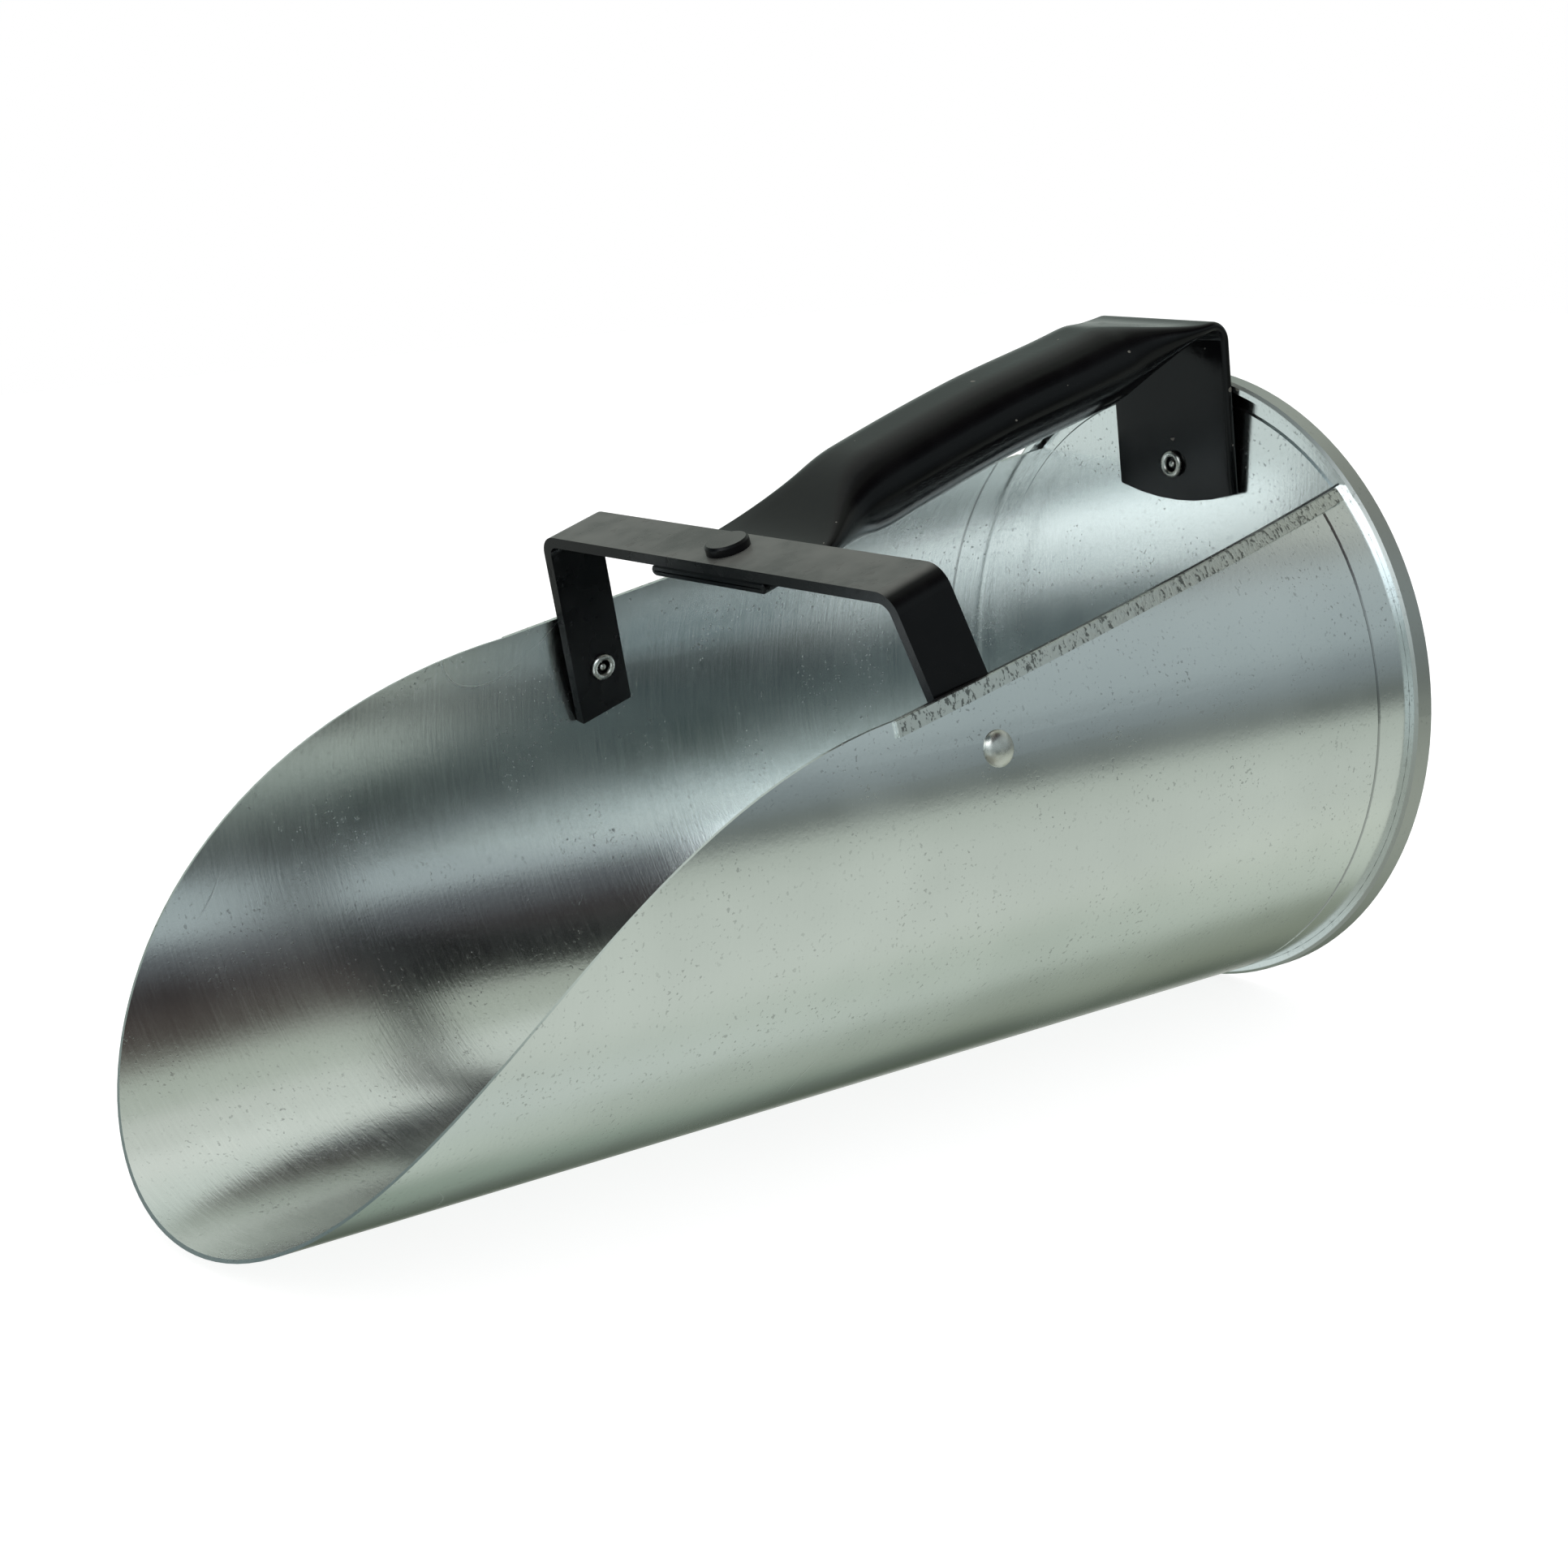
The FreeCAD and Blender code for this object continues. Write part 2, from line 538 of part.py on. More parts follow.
def sideRivet(name, side):
    grip = "({bodyRadius} + 2 * {seatPlay} - %s + {strapThick} + {rollRadius} * %s)" % (LEG_AT_RIVET, LEG_SLANT)
    rivet = revolved(name, rivetOutline(grip))
    turn = FreeCAD.Rotation(FreeCAD.Vector(0, 1, 0), FreeCAD.Vector(*rivetDirection(side)))
    rivet.Placement = FreeCAD.Placement(FreeCAD.Vector(), turn)
    offset = "({bodyRadius} + {seatPlay})"
    return place(rivet, "%d * %s * sin({sideRivetAngle})" % (side, offset), "-{sideRivetAhead}",
                 "-%s * cos({sideRivetAngle})" % offset)


def rearRivet():
    back = "({panelDepth} + {discSheet} + {seatPlay})"
    front = "(%s - 2 * {plyThick} / cos(%s) - {rollRadius} * tan(%s) - {seatPlay})" % (
        tabBack(REAR_RIVET), TAB_LEAN, TAB_LEAN)
    grip = "(%s - %s)" % (back, front)
    return place(revolved("rear_rivet", rivetOutline(grip)), "0", back, REAR_RIVET)


def frontRivet():
    grip = "(-({strapThick} + 2 * {plyThick} + 3 * {seatPlay}))"
    corners = [
        ("0", "{frontHeadHeight}"), ("{frontHeadRadius} * 0.9", "{frontHeadHeight}"),
        ("{frontHeadRadius}", "{frontHeadHeight} * 0.75"), ("{frontHeadRadius}", "{seatPlay}"),
        ("{frontShankRadius}", "{seatPlay}"), ("{frontShankRadius}", grip), ("{frontTailRadius}", grip),
        ("{frontTailRadius} * 0.7", grip + " - {frontTailHeight}"), ("0", grip + " - {frontTailHeight}")]
    rivet = revolved("front_rivet", corners)
    return place(rivet, "0", "-{strapAhead}", "{strapHeight}", (1, 0, 0), "90 + {strapTilt}")


PARTS = [bodySheet(), backDisc(), bridgeStrap(), handleTube(), frontRivet(),
         sideRivet("side_rivet_left", -1), sideRivet("side_rivet_right", 1), rearRivet()]
doc.recompute()

for thing in doc.Objects:
    if "Invalid" in thing.State or "Error" in thing.State:
        raise RuntimeError("%s did not build: %s" % (thing.Name, thing.State))

os.makedirs("parts", exist_ok=True)
for part in PARTS:
    part.Label = part.Name
    shape = part.Shape
    if shape.isNull() or not shape.isValid():
        raise RuntimeError(part.Label + " has no valid shape")
    shape.exportStep("parts/%s.step" % part.Label)
    box = shape.BoundBox
    print("%-18s solids %d volume %9.1f  x %7.2f %7.2f  y %7.2f %7.2f  z %7.2f %7.2f" % (
        part.Label, len(shape.Solids), shape.Volume, box.XMin, box.XMax, box.YMin, box.YMax, box.ZMin, box.ZMax))
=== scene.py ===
import math

import bmesh
import bpy
from mathutils import Matrix, Vector


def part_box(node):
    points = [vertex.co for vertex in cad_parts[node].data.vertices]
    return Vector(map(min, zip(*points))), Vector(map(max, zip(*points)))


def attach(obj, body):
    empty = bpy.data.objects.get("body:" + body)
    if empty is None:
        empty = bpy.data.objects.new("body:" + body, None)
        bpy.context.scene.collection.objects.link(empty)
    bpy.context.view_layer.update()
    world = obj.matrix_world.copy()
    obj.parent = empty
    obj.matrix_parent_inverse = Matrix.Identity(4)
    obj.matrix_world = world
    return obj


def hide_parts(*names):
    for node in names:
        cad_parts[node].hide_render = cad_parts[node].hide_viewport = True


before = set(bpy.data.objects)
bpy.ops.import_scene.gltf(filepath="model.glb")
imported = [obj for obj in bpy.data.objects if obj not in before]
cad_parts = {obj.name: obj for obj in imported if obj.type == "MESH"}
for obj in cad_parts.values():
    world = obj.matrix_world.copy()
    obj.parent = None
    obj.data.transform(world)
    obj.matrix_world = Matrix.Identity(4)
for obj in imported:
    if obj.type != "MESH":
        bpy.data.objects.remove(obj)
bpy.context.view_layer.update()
print("frame loaded")

# The scoop's axis runs along Y, its mouth towards -Y.
body = {
    "radius": 0.0700,
    "rimRadius": 0.07199,   # the axis is this high above the floor
    "seamFront": 0.1310,    # front edge of the rim seam
    "grooveAhead": 0.0100,  # tool groove, ahead of the seam
    "wall": 0.0007,
}
axisHeight = body["rimRadius"]


def linear(red, green, blue):
    # screen colour to scene colour
    return [((c + 0.055) / 1.055) ** 2.4 if c > 0.04045 else c / 12.92 for c in (red, green, blue)]


# material helpers

class Recipe:
    # a node material with short ways to add and join nodes
    def __init__(self, name):
        self.material = bpy.data.materials.new(name)
        self.material.use_nodes = True
        self.tree = self.material.node_tree
        self.shader = self.tree.nodes["Principled BSDF"]
        self.place = self.add("ShaderNodeTexCoord").outputs["Object"]

    def add(self, kind, **settings):
        node = self.tree.nodes.new(kind)
        for key, setting in settings.items():
            setattr(node, key, setting)
        return node

    def join(self, source, target):
        self.tree.links.new(source, target)

    def math(self, operation, first, second=None, third=None):
        node = self.add("ShaderNodeMath", operation=operation)
        for number, source in enumerate((first, second, third)):
            if source is None:
                continue
            if isinstance(source, (int, float)):
                node.inputs[number].default_value = source
            else:
                self.join(source, node.inputs[number])
        return node.outputs[0]

    def noise(self, where, scale, detail=2.0, roughness=0.5, distortion=0.0):
        node = self.add("ShaderNodeTexNoise")
        self.join(where, node.inputs["Vector"])
        given = {"Scale": scale, "Detail": detail, "Roughness": roughness, "Distortion": distortion}
        for key, setting in given.items():
            node.inputs[key].default_value = setting
        return node.outputs["Fac"]

    def fit(self, source, low, high, outLow=0.0, outHigh=1.0, smooth=True):
        node = self.add("ShaderNodeMapRange")
        node.interpolation_type = "SMOOTHSTEP" if smooth else "LINEAR"
        self.join(source, node.inputs["Value"])
        given = {"From Min": low, "From Max": high, "To Min": outLow, "To Max": outHigh}
        for key, setting in given.items():
            node.inputs[key].default_value = setting
        return node.outputs["Result"]

    def blend(self, share, first, second):
        node = self.add("ShaderNodeMix", data_type="RGBA")
        for source, number in ((share, 0), (first, 6), (second, 7)):
            socket = node.inputs[number]
            if isinstance(source, (int, float)):
                socket.default_value = source
            elif isinstance(source, (list, tuple)):
                socket.default_value = (*source, 1.0)
            else:
                self.join(source, socket)
        return node.outputs[2]

    def bump(self, height, strength, distance):
        node = self.add("ShaderNodeBump")
        node.inputs["Strength"].default_value = strength
        node.inputs["Distance"].default_value = distance
        self.join(height, node.inputs["Height"])
        self.join(node.outputs["Normal"], self.shader.inputs["Normal"])

    def vector(self, x, y, z):
        node = self.add("ShaderNodeCombineXYZ")
        for number, source in enumerate((x, y, z)):
            if isinstance(source, (int, float)):
                node.inputs[number].default_value = source
            else:
                self.join(source, node.inputs[number])
        return node.outputs[0]

    def axes(self):
        node = self.add("ShaderNodeSeparateXYZ")
        self.join(self.place, node.inputs[0])
        return node.outputs[0], node.outputs[1], node.outputs[2]

    def set(self, **settings):
        for key, setting in settings.items():
            self.shader.inputs[key.replace("_", " ")].default_value = setting


# galvanised sheet: zinc with rolling streaks, fine dark specks, smudges and hairline scratches
zinc = {
    "light": linear(0.93, 0.94, 0.935),
    "shade": linear(0.88, 0.89, 0.885),
    # dark of the specks, also used as the painted shade in the tool groove
    "speckAndGrooveShade": linear(0.42, 0.42, 0.42),
    "hem": linear(0.86, 0.87, 0.85),
    "rim": linear(0.66, 0.665, 0.645),
    "roughness": 0.18,
    "smudgeScale": 15.0,
    "cloudScale": 60.0,       # gathers the specks in patches
    "grainScale": 850.0,
    "speckScale": 1150.0,
    "scratchScale": 11.0,
    "hemTicks": (500.0, 900.0, 500.0),   # along X, Y and Z
    "bump": 0.00012,
    "streakAcross": 1500.0,   # streaks per metre along the axis
    "streakAlong": 75.0,      # and round the body
    "streakDepth": 0.3,
}


def galvanised(name, settings, flat=False):
    r = Recipe(name)
    x, y, z = r.axes()
    radius = body["radius"]
    lift = r.math("SUBTRACT", z, axisHeight)
    reach = r.math("SQRT", r.math("ADD", r.math("MULTIPLY", x, x), r.math("MULTIPLY", lift, lift)))
    # rolling streaks: up the disc, round the body, and weaker outside than inside
    if flat:
        where = r.vector(r.math("MULTIPLY", x, settings["streakAcross"]), 0.0,
                         r.math("MULTIPLY", z, settings["streakAlong"]))
        inside = 1.0
    else:
        turn = r.math("ARCTAN2", x, r.math("MULTIPLY", lift, -1.0))
        where = r.vector(r.math("MULTIPLY", turn, settings["streakAlong"] * radius),
                         r.math("MULTIPLY", y, settings["streakAcross"]), 0.0)
        middle = radius - body["wall"] / 2
        inside = r.fit(reach, middle - 0.00005, middle + 0.00005, 1.0, 0.22)
    streak = r.noise(where, 1.0, 3.0, 0.65)
    depth = r.math("MULTIPLY", inside, settings["streakDepth"])
    stroke = r.math("MULTIPLY", r.math("SUBTRACT", streak, 0.5), depth)
    # smudges, and specks gathered in patches
    smudge = r.noise(r.place, settings["smudgeScale"], 3.0, 0.55, 0.6)
    cloud = r.noise(r.place, settings["cloudScale"], 3.0, 0.6)
    grain = r.noise(r.place, settings["grainScale"], 2.0, 0.6)
    fleck = r.fit(r.noise(r.place, settings["speckScale"], 1.0, 0.5), 0.64, 0.72)
    fleck = r.math("MULTIPLY", fleck, r.math("MULTIPLY_ADD", r.fit(cloud, 0.42, 0.68), 0.6, 0.2))
    tone = r.math("ADD", r.math("MULTIPLY", smudge, 0.6), r.math("MULTIPLY_ADD", stroke, 1.1, 0.2))
    colour = r.blend(r.fit(tone, 0.35, 0.65), settings["shade"], settings["light"])
    colour = r.blend(r.math("MULTIPLY", fleck, 0.55), colour, settings["speckAndGrooveShade"])
    # hairline scratches: thin bent lines, in patches only
    bend = r.math("ABSOLUTE", r.math("SUBTRACT", r.noise(r.place, settings["scratchScale"], 0.0), 0.52))
    scratched = r.fit(r.noise(r.place, 26.0, 2.0), 0.56, 0.62)
    hair = r.math("MULTIPLY", r.fit(bend, 0.0, 0.0012, 1.0, 0.0), scratched)
    dull = settings["roughness"]
    rough = r.fit(smudge, 0.3, 0.7, dull - 0.03, dull + 0.05)
    rough = r.math("ADD", rough, r.math("MULTIPLY", stroke, 0.35))
    marks = r.math("ADD", r.math("MULTIPLY", fleck, 0.15), r.math("MULTIPLY", hair, 0.1))
    rough = r.math("ADD", rough, marks)
    height = r.math("MULTIPLY_ADD", stroke, 1.5, r.math("MULTIPLY", grain, 0.32))
    pits = r.math("ADD", r.math("MULTIPLY", fleck, 0.35), r.math("MULTIPLY", hair, 0.3))
    height = r.math("SUBTRACT", height, pits)
    if not flat:
        # folded hem: dull, wrinkled and ticked across
        outside = r.fit(reach, radius + 0.00008, radius + 0.00016)
        ahead = r.fit(y, body["seamFront"] - 0.0008, body["seamFront"], 1.0, 0.0)
        hem = r.math("MULTIPLY", outside, ahead)
        wrinkles = [r.math("MULTIPLY", side, scale) for side, scale in zip((x, y, z), settings["hemTicks"])]
        ticks = r.noise(r.vector(*wrinkles), 1.0, 3.0, 0.7)
        tick = [c * 0.3 for c in settings["hem"]]
        colour = r.blend(hem, colour, r.blend(r.fit(ticks, 0.53, 0.6), settings["hem"], tick))
        rough = r.math("ADD", rough, r.math("MULTIPLY", hem, 0.16))
        height = r.math("ADD", height, r.math("MULTIPLY", r.math("MULTIPLY", ticks, hem), 6.0))
        # painted shade: a dark line along the tool groove
        groove = r.math("ABSOLUTE", r.math("SUBTRACT", y, body["seamFront"] - body["grooveAhead"]))
        line = r.fit(groove, 0.00025, 0.0005, 1.0, 0.0)
        line = r.math("MULTIPLY", line, r.math("SUBTRACT", 1.0, outside))
        colour = r.blend(r.math("MULTIPLY", line, 0.5), colour, settings["speckAndGrooveShade"])
    # rolled rim: dull and grey
    proud = r.fit(reach, radius + 0.0011, radius + 0.0015)
    rim = r.math("MULTIPLY", proud, r.fit(y, 0.125, 0.1305))
    colour = r.blend(r.math("MULTIPLY", rim, 0.8), colour, settings["rim"])
    rough = r.math("ADD", rough, r.math("MULTIPLY", rim, 0.22))
    r.join(colour, r.shader.inputs["Base Color"])
    r.join(rough, r.shader.inputs["Roughness"])
    r.bump(height, 0.3, settings["bump"])
    r.set(Metallic=1.0)
    return r.material


# black finishes
blackPaint = {
    "colour": linear(0.02, 0.02, 0.024),
    "dust": linear(0.5, 0.49, 0.46),
    "paintedTopSheen": linear(0.34, 0.345, 0.33),   # painted sheen: lighter grey where a face looks up
    "roughness": 0.15,
    "gloss": 0.2,
    "mottleScale": 70.0,
    "pimpleScale": 480.0,
    "dustScale": 520.0,
    "chipScale": 330.0,
    "bump": 0.0002,
}


def blackEnamel(name, settings, satin=0.0, blue=0.0, sheenOnTop=0.0):
    r = Recipe(name)
    mottle = r.noise(r.place, settings["mottleScale"], 3.0, 0.6)
    pimple = r.noise(r.place, settings["pimpleScale"], 2.0, 0.6)
    dust = r.fit(r.noise(r.place, settings["dustScale"], 0.0), 0.865, 0.875)
    chip = r.math("MULTIPLY", r.fit(r.noise(r.place, settings["chipScale"], 2.0, 0.7), 0.62, 0.66),
                  r.fit(r.noise(r.place, 55.0, 1.0), 0.52, 0.6))
    chipped = 1.0 if satin > 0 else 0.0   # only the satin pieces are chipped
    base = settings["colour"]
    colour = r.blend(r.fit(mottle, 0.35, 0.7), base, [c * (1.35 + blue) for c in base])
    colour = r.blend(r.math("MULTIPLY", dust, 0.5), colour, settings["dust"])
    # painted sheen: faces that look up are lightened towards grey, in patches
    if sheenOnTop:
        facing = r.add("ShaderNodeSeparateXYZ")
        r.join(r.add("ShaderNodeNewGeometry").outputs["Normal"], facing.inputs[0])
        upward = r.fit(facing.outputs[2], 0.75, 0.95)
        paintedSheen = r.math("MULTIPLY", upward, r.fit(mottle, 0.3, 0.7, 0.5, 1.0))
        colour = r.blend(r.math("MULTIPLY", paintedSheen, sheenOnTop), colour, settings["paintedTopSheen"])
    r.join(colour, r.shader.inputs["Base Color"])
    dull = settings["roughness"] + satin
    rough = r.fit(mottle, 0.3, 0.7, dull - 0.04, dull + 0.07)
    rough = r.math("ADD", rough, r.math("MULTIPLY", dust, 0.3))
    rough = r.math("ADD", rough, r.math("MULTIPLY", chip, 0.15 * chipped))
    r.join(rough, r.shader.inputs["Roughness"])
    height = r.math("ADD", r.math("MULTIPLY", pimple, 0.35), r.math("MULTIPLY", mottle, 0.8))
    height = r.math("SUBTRACT", height, r.math("MULTIPLY", chip, 0.6 * chipped))
    r.bump(height, 0.3, settings["bump"])
    r.set(Specular_IOR_Level=settings["gloss"])
    return r.material


plating = {"bright": linear(0.86, 0.86, 0.84), "tarnished": linear(0.66, 0.65, 0.62), "bump": 0.0001}


def platedRivet(name, settings):
    r = Recipe(name)
    scuff = r.noise(r.place, 700.0, 3.0, 0.6)
    tarnish = r.noise(r.place, 260.0, 2.0, 0.5)
    colour = r.blend(r.fit(tarnish, 0.35, 0.7), settings["bright"], settings["tarnished"])
    r.join(colour, r.shader.inputs["Base Color"])
    r.join(r.fit(scuff, 0.3, 0.7, 0.2, 0.36), r.shader.inputs["Roughness"])
    r.bump(scuff, 0.3, settings["bump"])
    r.set(Metallic=1.0)
    return r.material


finishes = {
    "body_sheet": galvanised("galvanisedSheet", zinc),
    "back_disc": galvanised("galvanisedDisc", dict(zinc, roughness=0.17, streakDepth=0.2), flat=True),
    # the strap and the front rivet carry a painted sheen on their upward faces
    "bridge_strap": blackEnamel("strapPaint", blackPaint, satin=0.12, blue=0.3, sheenOnTop=0.9),
    "handle_tube": blackEnamel("handleEnamel", blackPaint),
    "front_rivet": blackEnamel("frontRivetPaint", blackPaint, satin=0.1, sheenOnTop=0.6),
    "side_rivet_left": platedRivet("platedRivetLeft", plating),
    "side_rivet_right": platedRivet("platedRivetRight", plating),
    "rear_rivet": platedRivet("platedRivet", plating),
}
for nodeName, finish in finishes.items():
    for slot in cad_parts[nodeName].material_slots:
        slot.material = finish
print("finishes set")


# handle: a tube pressed flat at both ends, arched between, turned down at the heel
handle = {
    "flatWidth": 0.0384, "gripWidth": 0.0256, "gripHeight": 0.0180, "tabWidth": 0.0366,
    "ply": 0.0012,
    "frontTaper": 0.030, "rearTaper": 0.024,
    # centre line, as (ahead of the seam, above the axis)
    "path": [(-0.12306, 0.04573), (-0.1000, 0.0543), (-0.0630, 0.0664), (-0.0260, 0.0761),
             (-0.00677, 0.08283)],
    "strapTilt": 17.2, "heelSlope": 11.0, "tabLean": 4.95,
    "frontEnd": 0.0155,      # flat length ahead of the path, under the strap
    "heel": (-0.006045, 0.0791),
    "foot": 0.0414, "footCurve": 0.060,
    "edge": 0.0003,          # softened edge of the pressed end
    "slit": 0.0015,          # depth of the gap between the two plies
    "slitHalf": (0.00012, 0.00010),
}


def atSeam(y, z):
    # from the seam's front edge and the scoop's axis to the standing frame
    return Vector((0.0, y + body["seamFront"], z + axisHeight))


def slope(degrees):
    return Vector((0.0, math.cos(math.radians(degrees)), math.sin(math.radians(degrees))))


def ease(share):
    share = min(1.0, max(0.0, share))
    return share * share * (3 - 2 * share)


def ovalPoints(centre, run, halfWidth, halfHeight, roundSteps=14, flatSteps=6):
    run = run.normalized()
    across = Vector((1.0, 0.0, 0.0))
    up = across.cross(run)
    flat = max(halfWidth - halfHeight, 0.0)
    points = []
    for side in (1, -1):
        for step in range(roundSteps):
            turn = math.pi * step / roundSteps
            reach = flat + halfHeight * math.sin(turn)
            points.append(centre + side * (across * reach + up * halfHeight * math.cos(turn)))
        for step in range(flatSteps):
            reach = flat * (1 - 2 * step / flatSteps)
            points.append(centre + side * (across * reach - up * halfHeight))
    return points


def handleCurve(settings):
    # smooth centre line through the given points, as (point, direction, distance) samples
    knots = [atSeam(*point) for point in settings["path"]]
    runs = [slope(settings["strapTilt"])]
    for before, here, after in zip(knots, knots[1:], knots[2:]):
        first, second = (here - before), (after - here)
        blend = first.length / (first.length + second.length)
        runs.append((first.normalized().lerp(second.normalized(), blend)).normalized())
    runs.append(slope(settings["heelSlope"]))
    samples = []
    distance = 0.0
    for start, end, runStart, runEnd in zip(knots, knots[1:], runs, runs[1:]):
        span = (end - start).length / 3
        handles = (start, start + runStart * span, end - runEnd * span, end)
        for step in range(24):
            t = step / 24
            a, b, c, d = ((1 - t) ** 3, 3 * t * (1 - t) ** 2, 3 * t * t * (1 - t), t ** 3)
            point = handles[0] * a + handles[1] * b + handles[2] * c + handles[3] * d
            if samples:
                distance += (point - samples[-1][0]).length
            samples.append([point, runStart.lerp(runEnd, t), distance])
    distance += (knots[-1] - samples[-1][0]).length
    samples.append([knots[-1], runs[-1], distance])
    for number in range(1, len(samples) - 1):
        samples[number][1] = (samples[number + 1][0] - samples[number - 1][0]).normalized()
    return samples


def makeHandle(settings):
    ply = settings["ply"]
    wide, grip, rear = (settings[key] / 2 for key in ("flatWidth", "gripWidth", "tabWidth"))
    tall = settings["gripHeight"] / 2
    samples = handleCurve(settings)
    length = samples[-1][2]
    rings = []
    # pressed front end, with the slit between its two plies
    lead, ahead = samples[0][0], slope(settings["strapTilt"])
    end = lead - ahead * settings["frontEnd"]
    edge = settings["edge"]
    mouth, depth = settings["slitHalf"]
    rings.append(ovalPoints(end + ahead * settings["slit"], ahead, wide - ply, depth))
    rings.append(ovalPoints(end, ahead, wide - ply, mouth))
    rings.append(ovalPoints(end, ahead, wide - edge, ply - edge))
    rings.append(ovalPoints(end + ahead * edge, ahead, wide, ply))
    for step in range(1, 5):
        rings.append(ovalPoints(end + ahead * settings["frontEnd"] * step / 5, ahead, wide, ply))
    for point, run, distance in samples:
        front = distance < length / 2
        reach = distance if front else length - distance
        taper = settings["frontTaper"] if front else settings["rearTaper"]
        flat = wide if front else rear
        narrow = ease((1.35 if front else 1.2) * reach / taper)
        swell = ease(reach / taper)
        rings.append(ovalPoints(point, run, flat + (grip - flat) * narrow, ply + (tall - ply) * swell))
    # round the heel and down the tab
    heel = atSeam(*settings["heel"])
    turn = 90 - settings["tabLean"] + settings["heelSlope"]
    last = rings[-1]
    for step in range(1, 15):
        spin = Matrix.Rotation(-math.radians(turn) * step / 14, 4, "X")
        rings.append([heel + spin @ (point - heel) for point in last])
    down = slope(settings["tabLean"] - 90)
    full = (heel.z - atSeam(0.0, settings["foot"]).z) / abs(down.z)
    bent = rings[-1]

    def lowered(share, inset=0.0):
        moved = []
        for point in bent:
            rounding = settings["footCurve"] - math.sqrt(settings["footCurve"] ** 2 - point.x ** 2)
            moved.append(point + down * ((full - rounding) * share - inset))
        return moved

    for step in range(1, 12):
        rings.append(lowered(step / 12))
    rings.append(lowered(1.0, 0.0002))
    # the foot closes over its two plies, with a thin gap between them
    foot = lowered(1.0)
    middle = sum(foot, Vector()) / len(foot)
    thin = down.cross(Vector((1.0, 0.0, 0.0)))
    for squeeze, rise in ((0.25, 0.0), (0.9, 0.0), (0.92, 0.0012)):
        rings.append([point - thin * (point - middle).dot(thin) * squeeze - down * rise for point in foot])

    work = bmesh.new()
    loops = [[work.verts.new(point) for point in ring] for ring in rings]
    count = len(loops[0])
    for first, second in zip(loops, loops[1:]):
        for number in range(count):
            after = (number + 1) % count
            work.faces.new((first[number], first[after], second[after], second[number]))
    work.faces.new(loops[0])
    work.faces.new(list(reversed(loops[-1])))
    bmesh.ops.remove_doubles(work, verts=work.verts, dist=1e-7)
    bmesh.ops.recalc_face_normals(work, faces=work.faces)
    for face in work.faces:
        face.smooth = True
    mesh = bpy.data.meshes.new("gripTube")
    work.to_mesh(mesh)
    work.free()
    mesh.set_sharp_from_angle(angle=math.radians(42))
    piece = bpy.data.objects.new("gripTube", mesh)
    bpy.context.scene.collection.objects.link(piece)
    mesh.materials.append(finishes["handle_tube"])
    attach(piece, "root")
    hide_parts("handle_tube")


makeHandle(handle)
print("handle made")


# rivets: a low domed head outside, and a rolled ring with a sunk middle on the other end
rivets = {
    "nodes": ("side_rivet_left", "side_rivet_right", "rear_rivet"),
    "headHeight": 0.0016, "rollHeight": 0.0011,
    "sizes": {"Head Radius": 0.00375, "Head Rise": 0.0016, "Ring Radius": 0.0024, "Ring Thickness": 0.0007,
              "Ring Lift": 0.0004, "Pin Radius": 0.0009, "Pin Rise": 0.0008},
}


